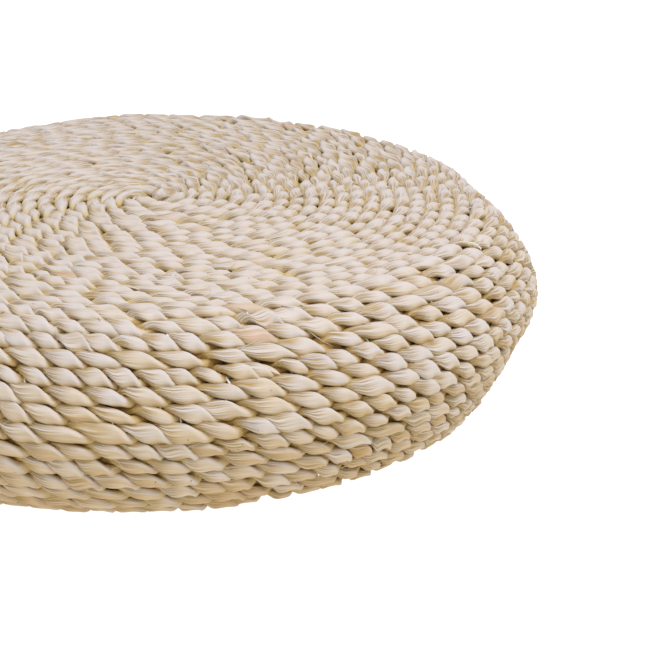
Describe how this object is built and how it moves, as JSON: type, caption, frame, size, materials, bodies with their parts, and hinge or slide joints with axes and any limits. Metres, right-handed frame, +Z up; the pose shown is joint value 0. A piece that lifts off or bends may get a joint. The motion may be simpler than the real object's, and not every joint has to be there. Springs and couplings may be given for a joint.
{
  "type": "chair seat pad",
  "caption": "Thick round seat pad: two-ply maize-husk rope coiled over a foam core, its courses sewn together with nylon thread.",
  "frame": {"origin": "centre of the flat underside", "axes": "+Z up through the middle of the pad, from the underside to the seat face; X and Y are alike"},
  "size_m": [0.3996, 0.3996, 0.094],
  "materials": {
    "husk_rope": "twisted maize husk, satin with fine fibre lines",
    "nylon_thread": "translucent white sewing thread",
    "lining_cloth": "coarse brown plain-weave cloth",
    "foam": "white closed-cell sheet foam, matt"
  },
  "bodies": {
    "root": {"top_coil": "husk_rope", "wall_coil": "husk_rope", "base_coil": "husk_rope", "rope_start": "husk_rope", "rope_tail": "husk_rope", "top_thread": "nylon_thread", "wall_thread": "nylon_thread", "base_thread": "nylon_thread", "lining_top": "lining_cloth", "lining_band": "lining_cloth", "lining_base": "lining_cloth", "foam_lower": "foam", "foam_middle": "foam", "foam_upper": "foam"}
  },
  "joints": []
}
